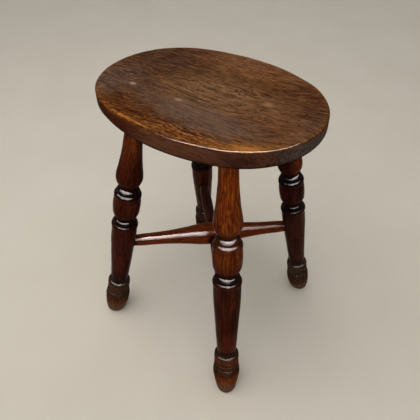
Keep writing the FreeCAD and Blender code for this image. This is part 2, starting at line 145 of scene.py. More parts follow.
# Leg turning in millimetres: the length of each step, the radius that it ends at, and how far its
# curve stands out of a straight line as a share of the length
TENON_LENGTH = 14.5
TENON_RADIUS = 12.2
BEAD_STEP = (8.2, 0.17)
LEG_TOP = [
    (25.0, 13.0, 0.0),
    (70.0, 18.9, -0.018),
    (15.0, 20.5, 0.024),
    (13.0, 16.4, 0.066),
    (4.5, 13.9, -0.10),
    (2.5, 13.9, 0.0),
    (BEAD_STEP[0], 17.8, BEAD_STEP[1]),
    (10.0, 20.6, 0.20),
    (27.0, 21.4, 0.030),
    (13.0, 18.0, 0.080),
    (4.5, 15.6, -0.10),
    (2.5, 15.6, 0.0),
    (BEAD_STEP[0], 18.9, BEAD_STEP[1]),
    (10.0, 20.7, 0.20),
    (48.5, 19.9, 0.012),
]
ANKLE_RADIUS = 15.6
LEDGE_STEPS = [(8.0, 16.4, -0.05), (5.0, 20.0, 0.20)]
RING_LENGTH = 14.5
RING_STEP = (18.2, 0.07)
BAND_LENGTH = 13.0
INSTEP_LENGTH = 18.5
FOOT_RADIUS = 22.0
TOE_RUNOUT = 8.0
TOE_RADIUS = 13.8
FOOT_WEAR_ROUND = 4.5

# Scored lines: how much slimmer than the bead's end each step of an upper bead is, and the steps that
# the foot's band and instep start with
SCORED_BEAD = ((3.5, 0.6, 0.09), (0.7, 0.95, 0.0), (0.8, 0.4, 0.0))
SCORED_BEAD_SHARE = 0.02
BAND_TOP = [(1.5, 18.9, -0.05), (2.2, 20.0, 0.20)]
BAND_STEP = (20.0, 0.03)
INSTEP_TOP = [(2.5, 19.2, -0.10), (2.2, 20.7, 0.20)]
INSTEP_SHARE = 0.04

# Where a leg's finish changes, in millimetres down from the seat or down from the top of the toe
WORN_FROM_SEAT = (0, 45, 85, 115, 150, 180, 215)
WORN_FROM_TOE = (-110, -70, -30, 0, 25)
# Painted shade and painted dark reflection: the necks are laid black under the swellings, the foot's ring top
# and instep where they mirror the dark seat above
NECKS = ((125, 143), (188, 206))
FOOT_PAINTED_SHADE = ((-61, -45, 0.85), (-28, -6, 0.7))
RING_GLOSS_FADE = (-60, -45, -32)
INSTEP_GLOSS = 0.15
DUST_FROM_TOE = ((-110, 0.0), (-55, 0.1), (-38, 0.55), (-5, 0.35), (6, 0.5), (18, 1.6))
DUST_AT_FLOOR = 2.4
DULL_FROM_SEAT = (200, 225)
# Reaches of the darkening round a leg's joints: partly dirt, partly painted shade
SOCKET_DIRT_AND_SHADE = 12.0
MORTISE_DIRT_AND_SHADE = 7.0
LEG_UNEVENNESS = 0.18
LEG_SEED_STEP = 0.37

# Stretchers in millimetres
STRETCHER_HEIGHT = 184.0 * MM
PAST_AXIS = 2.0
FACE_REACH = 20.7
LEG_FACE = 19.0
END_LENGTH = 13.0
LONG_TENON = 9.5
LONG_WAIST = 10.5
SWELL_HALF = 35.0
SWELL_RADIUS = 19.3
SWELL_SHOULDER = 16.6
FLANK_SHARE = -0.020
SHORT_TENON = 8.5
SHORT_WAIST = 9.1
SHORT_INNER = 8.0
SHORT_INNER_TENON = 14.0
BELLY_SHARE = 0.013
# Reach of the darkening where a stretcher enters the wood: partly dirt, partly painted shade
STRETCHER_DIRT_AND_SHADE = 9.0
STRETCHER_UNEVENNESS = 0.06
LONG_SEED = 3.1
SHORT_FRONT_SEED = 2.2
SHORT_BACK_SEED = 2.7
JOINT_CLEARANCE = 0.15
END_CLEARANCE = 0.4
DRILL_LENGTH = 40.0

# How finely turnings and edges are drawn
LEG_SPACING = 1.1
STRETCHER_SPACING = 1.6
OUTLINE_GRID = 0.4
QUARTER_TURN = [math.radians(90 * i / 8) for i in range(9)]

# Tones of the polished beech: dark grain, body, worn wood and the glow in it
LEG_TONES = ("#120301", "#380e05", "#7c320c", "#b4641e")
LONG_TONES = ("#260903", "#62240b", "#9c4a14", "#c07222")
SHORT_TONES = ("#1c0a06", "#34150c", "#4a2010", "#6a3218")


def colour(code):
    """A hex colour as it is seen on a screen, turned to the linear values that shading uses."""
    shares = [int(code[i:i + 2], 16) / 255 for i in (1, 3, 5)]
    return tuple(c / 12.92 if c <= 0.04045 else ((c + 0.055) / 1.055) ** 2.4 for c in shares) + (1.0,)


def add_node(tree, kind, inputs=None, **settings):
    """Add a node with its settings. Each input takes a value, a node's first output or one output."""
    node = tree.nodes.new(kind)
    for key, value in settings.items():
        setattr(node, key, value)
    for key, value in (inputs or {}).items():
        if isinstance(value, bpy.types.Node):
            tree.links.new(value.outputs[0], node.inputs[key])
        elif isinstance(value, bpy.types.NodeSocket):
            tree.links.new(value, node.inputs[key])
        else:
            node.inputs[key].default_value = value
    return node


def new_material(name):
    """An empty material and its node tree."""
    material = bpy.data.materials.new(name)
    material.use_nodes = True
    material.node_tree.nodes.clear()
    return material, material.node_tree


def finish_material(tree, shader):
    add_node(tree, "ShaderNodeOutputMaterial", {"Surface": shader})


def tint(tree, under, over, share):
    """Lay one colour over another by a share from 0 to 1."""
    return add_node(tree, "ShaderNodeMix", {0: share, 6: under, 7: over}, data_type="RGBA").outputs[2]


def band(tree, value, low, high, to_low=0.0, to_high=1.0):
    """Turn a range of a value smoothly into another range."""
    return add_node(tree, "ShaderNodeMapRange",
                    {0: value, 1: low, 2: high, 3: to_low, 4: to_high}, interpolation_type="SMOOTHSTEP")


def maths(tree, operation, *values):
    """Work out one sum on numbers."""
    return add_node(tree, "ShaderNodeMath", dict(enumerate(values)), operation=operation)


def vector_maths(tree, operation, *values):
    """Work out one sum on places or directions."""
    return add_node(tree, "ShaderNodeVectorMath", dict(enumerate(values)), operation=operation)


def read_mark(tree, name, output="Fac"):
    """Read one of the marks that a shape carries for its finish."""
    return add_node(tree, "ShaderNodeAttribute", attribute_name=name).outputs[output]


def wood_noise(tree, place, size_mm, detail=3.0, offset=0.0, roughness=0.55):
    """Noise whose spots have about this size across and along the wood, in millimetres."""
    scale = [1.0 / (side * MM) for side in size_mm]
    placed = add_node(tree, "ShaderNodeMapping", {"Vector": place, "Scale": scale, "Location": [offset] * 3})
    return add_node(tree, "ShaderNodeTexNoise",
                    {"Vector": placed, "Scale": 1.0, "Detail": detail, "Roughness": roughness}).outputs[0]


def set_mark(mesh, name, values):
    """Store a mark at each point of a shape, for its finish to read."""
    store = mesh.attributes.new(name, "FLOAT", "POINT")
    store.data.foreach_set("value", np.asarray(values, dtype=np.float32))


def add_object(name, data):
    """Put a shape, a lamp or a camera in the scene."""
    thing = bpy.data.objects.new(name, data)
    bpy.context.scene.collection.objects.link(thing)
    return thing


# Turned profiles
def curved_step(start, end, rise, spacing):
    """Points along one step of a turning, from (station, radius) to (station, radius), without the first."""
    run = end[0] - start[0]
    chord = math.hypot(run, end[1] - start[1])
    if chord == 0:
        return []
    count = max(1, math.ceil(chord / spacing))
    along = (run / chord, (end[1] - start[1]) / chord)
    outward = (-along[1], along[0])
    points = []
    for i in range(1, count + 1):
        share = i / count
        bulge = 0.0
        if rise:
            radius = chord ** 2 / (8 * abs(rise)) + abs(rise) / 2
            bulge = math.sqrt(radius ** 2 - (chord * (share - 0.5)) ** 2) - (radius - abs(rise))
            bulge = math.copysign(bulge, rise)
        points.append((start[0] + (end[0] - start[0]) * share + outward[0] * bulge,
                       start[1] + (end[1] - start[1]) * share + outward[1] * bulge))
    return points


def draw_profile(start, steps, spacing=LEG_SPACING):
    """The whole outline of a turning. Each step is a length, the radius that it ends at and a rise."""
    points = [start]
    here = start
    for length, radius, rise in steps:
        end = (here[0] + length, radius)
        points += curved_step(here, end, rise, spacing)
        here = end
    return points


def leg_profile(length, leg):
    """A leg from its tenon to the floor, with its scored lines and the worn edge of its toe."""
    ring_top, ring_bottom = leg["ring_low"]
    band_run = BAND_LENGTH - ring_bottom - BAND_TOP[0][0] - BAND_TOP[1][0] - INSTEP_TOP[0][0]
    foot = (LEDGE_STEPS + [(RING_LENGTH - ring_top + ring_bottom,) + RING_STEP] + BAND_TOP
            + [(band_run,) + BAND_STEP] + INSTEP_TOP
            + [(INSTEP_LENGTH - INSTEP_TOP[1][0], FOOT_RADIUS, INSTEP_SHARE)])
    toe_length = leg["toe"]
    top = [(LEG_TOP[0][0] - leg["lift"],) + LEG_TOP[0][1:]]
    for run, radius, share in LEG_TOP[1:]:
        if (run, share) == BEAD_STEP:
            top += [(step, radius - slimmer, rise) for step, slimmer, rise in SCORED_BEAD]
            top.append((run - sum(step[0] for step in SCORED_BEAD), radius, SCORED_BEAD_SHARE))
        else:
            top.append((run, radius, share))
    taper = length - toe_length - sum(step[0] for step in top + foot)
    toe = toe_length + TOE_RUNOUT
    steps = top + [(taper, ANKLE_RADIUS, 0.0)] + foot + [(toe, TOE_RADIUS, leg["toe_share"])]
    steps = [(run, radius * leg["girth"], run * share) for run, radius, share in steps]
    points = draw_profile((-TENON_LENGTH, TENON_RADIUS), [(TENON_LENGTH, TENON_RADIUS, 0.0)] + steps)
    stations, radii = zip(*points)
    wear_start = length - FOOT_WEAR_ROUND
    kept = [point for point in points if point[0] < wear_start]
    for turn in QUARTER_TURN:
        station = wear_start + FOOT_WEAR_ROUND * math.sin(turn)
        radius = float(np.interp(station, stations, radii))
        kept.append((station, radius - FOOT_WEAR_ROUND * (1 - math.cos(turn))))
    return kept


def smoothed(stations, values, reach):
    """An outline evened over a reach in millimetres."""
    grid = np.arange(stations[0], stations[-1], OUTLINE_GRID)
    even = np.interp(grid, stations, values)
    width = int(2 * reach / OUTLINE_GRID) | 1
    padded = np.pad(even, width // 2, mode="edge")
    return np.interp(stations, grid, np.convolve(padded, np.ones(width) / width, mode="valid"))


def ramp(values, low, high):
    """Turn a range of values straight into 0 to 1."""
    return np.clip((values - low) / (high - low), 0, 1)


def mark_grime(points, zones):
    """Where the turning is laid black: in the hollows, partly black polish and partly painted shade, and as
    painted shade on faces that turn down and in named zones.
    """
    stations = np.array([point[0] for point in points])
    radii = np.array([point[1] for point in points])
    hollow = ramp(smoothed(stations, radii, 4.5) - radii, 0.05, 0.95)
    turned_down = ramp(-np.gradient(smoothed(stations, radii, 1.2), stations), 0.15, 0.85)
    grime = np.maximum(hollow * 0.9, turned_down * 0.6)
    for low, high, share in zones:
        grime = np.maximum(grime, share * ramp(np.minimum(stations - low, high - stations), -2.5, 2.5))
    return grime


# Turned pieces
def build_turning_tree():
    """Geometry nodes that turn a marked line into a piece.

    The line is spun and bored, left a little uneven as by hand and wear, and marked for its finish.
    """
    tree = bpy.data.node_groups.new("turned wood", "GeometryNodeTree")
    tree.interface.new_socket("Line", in_out="INPUT", socket_type="NodeSocketGeometry")
    for name, kind in (("Sides", "Int"), ("Mortises", "Int"), ("First Mortise", "Vector"),
                       ("Mortise Step", "Vector"), ("Mortise Direction", "Vector"),
                       ("Mortise Radius", "Float"), ("Mortise Length", "Float"), ("Toe Start", "Float"),
                       ("Floor", "Float"), ("Floor Slope", "Vector"), ("Unevenness", "Float"),
                       ("Seed", "Float"), ("Material", "Material")):
        tree.interface.new_socket(name, in_out="INPUT", socket_type="NodeSocket" + kind)
    tree.interface.new_socket("Piece", in_out="OUTPUT", socket_type="NodeSocketGeometry")
    given = add_node(tree, "NodeGroupInput").outputs

    # Spin the line into a solid
    curve = add_node(tree, "GeometryNodeMeshToCurve", {"Mesh": given["Line"]})
    radius = add_node(tree, "GeometryNodeInputNamedAttribute", {"Name": "turned_radius"})
    circle = add_node(tree, "GeometryNodeCurvePrimitiveCircle", {"Resolution": given["Sides"], "Radius": 1.0})
    spun = add_node(tree, "GeometryNodeCurveToMesh",
                    {"Curve": curve, "Profile Curve": circle, "Scale": radius, "Fill Caps": True})

    # Tip the toe's rings until the last one lies flat on the floor
    place = add_node(tree, "GeometryNodeInputPosition")
    height = add_node(tree, "ShaderNodeSeparateXYZ", {0: place}).outputs["Z"]
    toe_end = maths(tree, "SUBTRACT", given["Floor"], TOE_RUNOUT * MM)
    toe_share = band(tree, height, given["Toe Start"], toe_end)
    lift = vector_maths(tree, "DOT_PRODUCT", place, given["Floor Slope"]).outputs["Value"]
    lift = maths(tree, "MULTIPLY", maths(tree, "MULTIPLY", lift, toe_share), -1.0)
    tip = add_node(tree, "ShaderNodeCombineXYZ", {"Z": lift})
    tipped = add_node(tree, "GeometryNodeSetPosition", {"Geometry": spun, "Offset": tip})

    # Bore the mortises
    cutter = add_node(tree, "GeometryNodeMeshCylinder",
                      {"Vertices": 64, "Radius": given["Mortise Radius"], "Depth": given["Mortise Length"]})
    places = add_node(tree, "GeometryNodeMeshLine",
                      {"Count": given["Mortises"], "Start Location": given["First Mortise"],
                       "Offset": given["Mortise Step"]}, mode="OFFSET")
    aim = add_node(tree, "FunctionNodeAlignRotationToVector", {"Vector": given["Mortise Direction"]},
                   axis="Z")
    cutters = add_node(tree, "GeometryNodeInstanceOnPoints",
                       {"Points": places, "Instance": cutter.outputs["Mesh"], "Rotation": aim})
    cutters = add_node(tree, "GeometryNodeRealizeInstances", {"Geometry": cutters})
    bored = add_node(tree, "GeometryNodeMeshBoolean", {0: tipped, 1: cutters},
                     operation="DIFFERENCE", solver="EXACT")

    # Mark the grain, running along the piece, and the darkening round a joint, partly dirt and partly painted
    # shade
    seed_shift = add_node(tree, "ShaderNodeCombineXYZ", {"X": given["Seed"], "Y": given["Seed"]})
    grain = vector_maths(tree, "ADD", place, seed_shift)
    marked = add_node(tree, "GeometryNodeStoreNamedAttribute",
                      {"Geometry": bored, "Name": "grain", "Value": grain},
                      data_type="FLOAT_VECTOR", domain="POINT")
    span = vector_maths(tree, "SUBTRACT", place, given["First Mortise"])
    along = vector_maths(tree, "PROJECT", span, given["Mortise Direction"])
    aside = vector_maths(tree, "DISTANCE", span, along).outputs["Value"]
    facing = vector_maths(tree, "DOT_PRODUCT", span, given["Mortise Direction"]).outputs["Value"]
    dirt_and_shade_end = maths(tree, "ADD", given["Mortise Radius"], MORTISE_DIRT_AND_SHADE * MM)
    dirt = maths(tree, "MULTIPLY", band(tree, aside, given["Mortise Radius"], dirt_and_shade_end, 1.0, 0.0),
                 maths(tree, "GREATER_THAN", facing, 0.0))
    own_dirt_and_shade = add_node(tree, "GeometryNodeInputNamedAttribute", {"Name": "end_dirt"})
    dirt = maths(tree, "MAXIMUM", dirt, own_dirt_and_shade)
    marked = add_node(tree, "GeometryNodeStoreNamedAttribute",
                      {"Geometry": marked, "Name": "joint_dirt_and_shade", "Value": dirt},
                      data_type="FLOAT", domain="POINT")

    # Hand turning and wear leave the girth a little uneven, but not where it meets the floor
    bumps = add_node(tree, "ShaderNodeTexNoise", {"Vector": grain, "Scale": 45.0, "Detail": 2.0})
    swing = add_node(tree, "ShaderNodeMapRange", {0: bumps.outputs[0], 1: 0.25, 2: 0.75, 3: -1.0, 4: 1.0})
    swing = maths(tree, "MULTIPLY", swing, maths(tree, "SUBTRACT", 1.0, toe_share))
    swing = maths(tree, "MULTIPLY", swing, given["Unevenness"])
    across = vector_maths(tree, "NORMALIZE", vector_maths(tree, "MULTIPLY", place, (1.0, 1.0, 0.0)))
    push = add_node(tree, "ShaderNodeVectorMath", {0: across, "Scale": swing}, operation="SCALE")
    worn = add_node(tree, "GeometryNodeSetPosition", {"Geometry": marked, "Offset": push})

    # Smooth skin, with crisp edges only at the holes' mouths and the tenons' ends
    smooth = add_node(tree, "GeometryNodeSetShadeSmooth", {"Geometry": worn}, domain="FACE")
    angle = add_node(tree, "GeometryNodeInputMeshEdgeAngle")
    crisp = add_node(tree, "FunctionNodeCompare", {0: angle, 1: math.radians(50)}, operation="GREATER_THAN")
    smooth = add_node(tree, "GeometryNodeSetShadeSmooth",
                      {"Geometry": smooth, "Selection": crisp, "Shade Smooth": False}, domain="EDGE")
    whole = add_node(tree, "GeometryNodeRealizeInstances", {"Geometry": smooth})
    dressed = add_node(tree, "GeometryNodeSetMaterial", {"Geometry": whole, "Material": given["Material"]})
    add_node(tree, "NodeGroupOutput", {"Piece": dressed})
    return tree


def set_inputs(modifier, values):
    """Set a modifier's inputs by the names that its tree gives them."""
    for item in modifier.node_group.interface.items_tree:
        if item.in_out == "INPUT" and item.name in values:
            modifier[item.identifier] = values[item.name]


def make_line(name, points, **marks):
    """The marked line that a turning is spun from."""
    mesh = bpy.data.meshes.new(name)
    mesh.from_pydata([(0, 0, station * MM) for station, _ in points],
                     [(i, i + 1) for i in range(len(points) - 1)], [])
    marks["turned_radius"] = [radius * MM for _, radius in points]
    for mark, values in marks.items():
        set_mark(mesh, mark, values)
    return mesh


def add_piece(name, mesh, nodes):
    """Put a finished mesh in the scene as a piece of the stool."""
    piece = add_object(name, mesh)
    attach(piece, "root")
    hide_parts(*nodes)
    return piece


def turn_piece(tree, name, line, place, node, inputs):
    """Spin one line into a finished piece and set it in its place."""
    blank = add_object(name + "_blank", line)
    modifier = blank.modifiers.new("turning", "NODES")
    modifier.node_group = tree
    set_inputs(modifier, inputs)
    bpy.context.view_layer.update()
    evaluated = blank.evaluated_get(bpy.context.evaluated_depsgraph_get())
    mesh = bpy.data.meshes.new_from_object(evaluated)
    blank.modifiers.clear()
    bpy.data.objects.remove(blank)
    mesh.name = name
    mesh.transform(place)
    return add_piece(name, mesh, [node])


def facing_matrix(origin, direction):
    """A place whose own Z axis runs along a direction."""
    z = direction.normalized()
    y = z.cross(Vector((0, 0, 1))).normalized()
    x = y.cross(z)
    return Matrix.Translation(origin) @ Matrix((x, y, z)).transposed().to_4x4()


class LegLine:
    """A leg's centre line, from its socket in the seat's underside to the floor."""

    def __init__(self, name):
        self.name = name
        self.plan = LEGS[name]
        (side_x, side_y), socket, foot = self.plan["side"], self.plan["socket"], self.plan["foot"]
        self.socket = SEAT_CENTRE + Vector((side_x * socket[0] * MM, side_y * socket[1] * MM, UNDERSIDE))
        self.foot = SEAT_CENTRE + Vector((side_x * foot[0] * MM, side_y * foot[1] * MM, 0))
        self.length = (self.foot - self.socket).length
        self.place = facing_matrix(self.socket, self.foot - self.socket)

    def at_height(self, height):
        return self.socket + (self.foot - self.socket) * (1 - height / self.socket.z)


def make_leg(tree, leg, stretcher_direction, tenon_radius, material, seed):
    plan = leg.plan
    length = leg.length / MM
    toe_top = length - plan["toe"]
    points = leg_profile(length, plan)
    stations = [station for station, _ in points]
    # Dirt and painted shade: the leg's top darkens towards the seat above it
    dirt = [max(0.0, 1.0 - max(0.0, station) / SOCKET_DIRT_AND_SHADE) for station in stations]
    worn_places = list(WORN_FROM_SEAT) + [toe_top + run for run in WORN_FROM_TOE]
    warmth = np.interp(stations, worn_places, plan["worn"])
    zones = [(low - plan["lift"], high - plan["lift"], share)
             for (low, high), share in zip(NECKS, plan["black"])]
    zones += [(toe_top + low, toe_top + high, share) for low, high, share in FOOT_PAINTED_SHADE]
    grime = mark_grime(points, zones)
    polish = np.interp(stations, [toe_top + run for run in RING_GLOSS_FADE],
                       [1.0, plan["ring_polish"], INSTEP_GLOSS])
    dust_places = [toe_top + run for run, _ in DUST_FROM_TOE] + [length - 2]
    dust_shares = [share for _, share in DUST_FROM_TOE] + [DUST_AT_FLOOR]
    dust = np.maximum(plan["dusty"] * np.interp(stations, dust_places, dust_shares),
                      plan["dull"] * np.interp(stations, DULL_FROM_SEAT, [0, 1]))
    line = make_line(leg.name, points, end_dirt=dirt, warmth=warmth, grime=grime, polish=polish, dust=dust)
    turned_in = leg.place.to_3x3().inverted()
    inward = turned_in @ (stretcher_direction * -1)
    joint = leg.place.inverted() @ leg.at_height(STRETCHER_HEIGHT)
    blind = PAST_AXIS + END_CLEARANCE
    hole = 60.0
    up = leg.place.to_3x3()[2]
    turn_piece(tree, leg.name + "_turned", line, leg.place, leg.name, {
        "Sides": 96,
        "Mortises": 1,
        "First Mortise": joint + inward * ((hole / 2 - blind) * MM),
        "Mortise Direction": inward,
        "Mortise Radius": (tenon_radius + JOINT_CLEARANCE) * MM,
        "Mortise Length": hole * MM,
        "Toe Start": leg.length - plan["toe"] * MM,
        "Floor": leg.length,
        "Floor Slope": Vector((up[0] / up[2], up[1] / up[2], 0)),
        "Unevenness": LEG_UNEVENNESS * MM,
        "Seed": seed,
        "Material": material,
    })


# A stretcher has no toe, so it starts a metre past the piece. A short one has no mortise either, so
# its drill stays far away
NO_TOE = {"Toe Start": 1.0, "Floor": 2.0}
FAR_AWAY = Vector((1, 1, 1))


def tenon_steps(radius):
    return [(1.0, radius, 0.0), (PAST_AXIS + FACE_REACH - 1.0, radius, 0.0)]


def end_dirt(points, faces):
    """Dirt and painted shade on a stretcher near the faces of the wood that it enters, in millimetres along
    it.
    """
    return [max(0.0, max(1.0 - abs(station - face) / STRETCHER_DIRT_AND_SHADE for face in faces))
            for station, _ in points]


def make_long_stretcher(tree, near, far, crossing, short_direction, material):
    near_reach = (crossing - near).length / MM
    far_reach = (far - crossing).length / MM
    taken = FACE_REACH + END_LENGTH + SWELL_HALF
    steps = tenon_steps(LONG_TENON) + [
        (END_LENGTH, LONG_WAIST, 0.0),
        (near_reach - taken, SWELL_SHOULDER, (near_reach - taken) * FLANK_SHARE),
        (SWELL_HALF * 2, SWELL_SHOULDER, SWELL_RADIUS - SWELL_SHOULDER),
        (far_reach - taken, LONG_WAIST, (far_reach - taken) * FLANK_SHARE),
        (END_LENGTH, LONG_TENON, 0.0),
        (PAST_AXIS + FACE_REACH - 1.0, LONG_TENON, 0.0),
        (1.0, LONG_TENON - 1.0, 0.0),
    ]
    points = draw_profile((-PAST_AXIS, LONG_TENON - 1.0), steps, STRETCHER_SPACING)
    place = facing_matrix(near, far - near)
    side = place.to_3x3().inverted() @ short_direction
    middle = Vector((0, 0, near_reach * MM))
    blind = SWELL_RADIUS - SHORT_INNER_TENON - END_CLEARANCE
    hole = 30.0
    from_axis = (blind + hole / 2) * MM
    count = len(points)
    line = make_line("long", points, warmth=np.full(count, 0.9), grime=np.zeros(count), dust=np.zeros(count),
                     end_dirt=end_dirt(points, (LEG_FACE, near_reach + far_reach - LEG_FACE)),
                     polish=np.interp(range(count), [0, count * 0.5, count * 0.6], [1.0, 1.0, 0.4]))
    turn_piece(tree, "stretcher_long_turned", line, place, "stretcher_long", {
        "Sides": 88,
        "Mortises": 2,
        "First Mortise": middle - side * from_axis,
        "Mortise Step": side * (from_axis * 2),
        "Mortise Direction": side,
        "Mortise Radius": (SHORT_INNER + JOINT_CLEARANCE) * MM,
        "Mortise Length": hole * MM,
        **NO_TOE,
        "Unevenness": STRETCHER_UNEVENNESS * MM,
        "Seed": LONG_SEED,
        "Material": material,
    })


def make_short_stretcher(tree, name, joint, crossing, material, seed):
    reach = (crossing - joint).length / MM
    belly = reach - FACE_REACH - END_LENGTH - SWELL_RADIUS
    steps = tenon_steps(SHORT_TENON) + [
        (END_LENGTH, SHORT_WAIST, 0.0),
        (belly, SHORT_INNER, belly * BELLY_SHARE),
        (SHORT_INNER_TENON - 1.0, SHORT_INNER, 0.0),
        (1.0, SHORT_INNER - 1.0, 0.0),
    ]
    points = draw_profile((-PAST_AXIS, SHORT_TENON - 1.0), steps, STRETCHER_SPACING)
    count = len(points)
    line = make_line(name, points, warmth=np.full(count, 0.2), grime=np.zeros(count), dust=np.zeros(count),
                     end_dirt=end_dirt(points, (LEG_FACE, reach - SWELL_RADIUS)), polish=np.full(count, 0.7))
    place = facing_matrix(joint, crossing - joint)
    turn_piece(tree, name + "_turned", line, place, name, {
        "Sides": 64,
        "Mortises": 0,
        "Mortise Direction": Vector((1, 0, 0)),
        "First Mortise": FAR_AWAY,
        **NO_TOE,
        "Unevenness": STRETCHER_UNEVENNESS * MM,
        "Seed": seed,
        "Material": material,
    })


# Seat
def oval_arcs():
    """The oval's end radius and how far out its centres are, then the same for its sides."""
    half_length = SEAT_LENGTH / 2
    half_width = SEAT_WIDTH / 2
    end_radius = half_width * END_ARC_SHARE
    end_out = half_length - end_radius
    side_radius = (end_out ** 2 + half_width ** 2 - end_radius ** 2) / (2 * (half_width - end_radius))
    return end_radius, end_out, side_radius, side_radius - half_width


def oval_outline(count):
    """Points evenly along the oval from the right end, and the outward direction at each."""
    end_radius, end_out, side_radius, side_in = oval_arcs()
    lean = math.atan2(side_in, end_out)
    arcs = []
    for turn, centre, radius, spread in (
            (0, (end_out, 0), end_radius, lean),
            (math.pi / 2, (0, -side_in), side_radius, math.pi / 2 - lean),
            (math.pi, (-end_out, 0), end_radius, lean),
            (-math.pi / 2, (0, side_in), side_radius, math.pi / 2 - lean)):
        arcs.append((turn - spread, 2 * spread, centre, radius))
    total = sum(spread * radius for _, spread, _, radius in arcs)
    points, outward = [], []
    for i in range(count):
        run = total * i / count
        for start, spread, centre, radius in arcs:
            if run <= spread * radius:
                break
            run -= spread * radius
        angle = start + run / radius
        points.append((centre[0] + radius * math.cos(angle), centre[1] + radius * math.sin(angle)))
        outward.append((math.cos(angle), math.sin(angle)))
    return np.array(points), np.array(outward)


def dish_depth(x, y):
    """How deep the hollow is below the board's face."""
    lift = BOWL_RADIUS - DISH_DEPTH
    rim = math.sqrt(1 - (lift / BOWL_RADIUS) ** 2)
    share = (x * rim / (DISH_LENGTH / 2)) ** 2 + (y * rim / (DISH_WIDTH / 2)) ** 2
    return np.maximum(0.0, BOWL_RADIUS * np.sqrt(np.maximum(0.0, 1 - share)) - lift)


def smooth_wave(turns, waves, seed):
    """A gentle uneven wave round the board, from about -1 to 1, made of a few sines."""
    value = 0
    for i, wave in enumerate(waves):
        value = value + np.sin(wave * turns + seed * (i + 1) * 1.7) / (1 + 0.5 * i)
    return value / sum(1 / (1 + 0.5 * i) for i in range(len(waves)))


def round_board(turns, marks):
    """A shape that eases round the board between values given at a few bearings in degrees."""
    bearings, values = zip(*marks)
    even = np.interp(np.degrees(turns), bearings, values, period=360)
    reach = len(turns) // 60
    padded = np.concatenate([even[-reach:], even, even[:reach]])
    return np.convolve(padded, np.ones(2 * reach + 1) / (2 * reach + 1), mode="valid")


def make_seat_mesh():
    """The board as rings: up from the middle of its underside, round its edge and in over the top."""
    count = 360
    points, outward = oval_outline(count)
    turns = np.arctan2(points[:, 1], points[:, 0]) % (2 * math.pi)
    uneven = smooth_wave(turns, (3, 7, 12, 19), 0.6)
    top_round = round_board(turns, RIM_ROUND) * MM * (1 + 0.2 * uneven)
    top = SEAT_THICKNESS + round_board(turns, RIM_RAISE) * MM
    lean = (round_board(turns, RIM_LEAN) + 0.2 * uneven) * MM
    shine = round_board(turns, RIM_SHINE)
    gold = round_board(turns, RIM_GOLD)
    arris_gold = round_board(turns, ARRIS_GOLD)
    gold_reach = round_board(turns, RIM_GOLD_REACH) * MM
    points = points + outward * (round_board(turns, RIM_SWELL) * MM)[:, None]
    rings = []
    marks = {"edge": [], "rim_shine": [], "rim_gold": []}

    def ring(flat, z, edge, gilt=0.0):
        rings.append(np.column_stack([flat, np.broadcast_to(z, count)]))
        marks["edge"].append(np.full(count, edge))
        marks["rim_shine"].append(shine * max(0.0, edge))
        marks["rim_gold"].append(np.zeros(count) + gilt)

    for share in np.linspace(0.08, 0.97, 8):
        ring(points * share, 0.0, -1.0)
    for turn in QUARTER_TURN:
        inset = UNDER_ROUND * (1 - math.sin(turn))
        ring(points - outward * inset, UNDER_ROUND * (1 - math.cos(turn)), -1.0)
    side = top - top_round - UNDER_ROUND
    for i in range(1, 8):
        share = i / 8
        ring(points - outward * (lean * share ** LEAN_CURVE)[:, None], UNDER_ROUND + side * share, -1.0,
             0.3 * arris_gold * share ** 4)
    for turn in QUARTER_TURN:
        inset = lean + top_round * (1 - math.cos(turn))
        ring(points - outward * inset[:, None], top - top_round * (1 - math.sin(turn)), math.sin(2 * turn),
             arris_gold * (0.4 + 0.6 * math.sin(turn)))
    rim = points - outward * (lean + top_round)[:, None]
    for share in np.linspace(0, 1, 60)[1:-1]:
        flat = rim * (1 - share)
        ease = max(0.0, 1 - share / RAISED_SHARE) ** 2
        z = SEAT_THICKNESS + (top - SEAT_THICKNESS) * ease - dish_depth(flat[:, 0], flat[:, 1])
        inset = np.linalg.norm(flat - rim, axis=1)
        gilt = gold * np.exp(-(inset / gold_reach) ** 2)
        ring(flat, z, 0.0, gilt + (arris_gold - gilt) * np.exp(-(inset / ARRIS_REACH) ** 2))
    verts = np.concatenate(rings + [np.array([[0, 0, 0], [0, 0, SEAT_THICKNESS - DISH_DEPTH]])])
    verts += np.array([SEAT_CENTRE.x, SEAT_CENTRE.y, UNDERSIDE])
    low_pole = len(rings) * count
    faces = []
    for row in range(len(rings) - 1):
        for i in range(count):
            j = (i + 1) % count
            faces.append((row * count + i, row * count + j, (row + 1) * count + j, (row + 1) * count + i))
    last = (len(rings) - 1) * count
    for i in range(count):
        j = (i + 1) % count
        faces.append((j, i, low_pole))
        faces.append((last + i, last + j, low_pole + 1))
    mesh = bpy.data.meshes.new("seat_board")
    mesh.from_pydata(verts.tolist(), [], faces)
    for mark, values in marks.items():
        low_value = -1.0 if mark == "edge" else 0.0
        set_mark(mesh, mark, np.concatenate(values + [np.array([low_value, 0.0])]))
    mesh.shade_smooth()
    return mesh


def bore_sockets(mesh, legs):
    """Cut the legs' sockets into the seat's underside."""
    board = add_object("board_blank", mesh)
    cutters = []
    for leg in legs:
        drill = bmesh.new()
        hole = (TENON_RADIUS + JOINT_CLEARANCE) * MM
        start = (DRILL_LENGTH / 2 - TENON_LENGTH - END_CLEARANCE) * MM
        bmesh.ops.create_cone(drill, cap_ends=True, segments=72, radius1=hole, radius2=hole,
                              depth=DRILL_LENGTH * MM, matrix=leg.place @ Matrix.Translation((0, 0, start)))
        drill_mesh = bpy.data.meshes.new("drill")
        drill.to_mesh(drill_mesh)
        drill.free()
        cutter = add_object("drill", drill_mesh)
        cutter.hide_render = True
        cutters.append(cutter)
        boolean = board.modifiers.new("socket", "BOOLEAN")
        boolean.object = cutter
        boolean.operation = "DIFFERENCE"
        boolean.solver = "EXACT"
    bpy.context.view_layer.update()
    result = bpy.data.meshes.new_from_object(board.evaluated_get(bpy.context.evaluated_depsgraph_get()))
    for thing in [board] + cutters:
        bpy.data.objects.remove(thing)
    return result


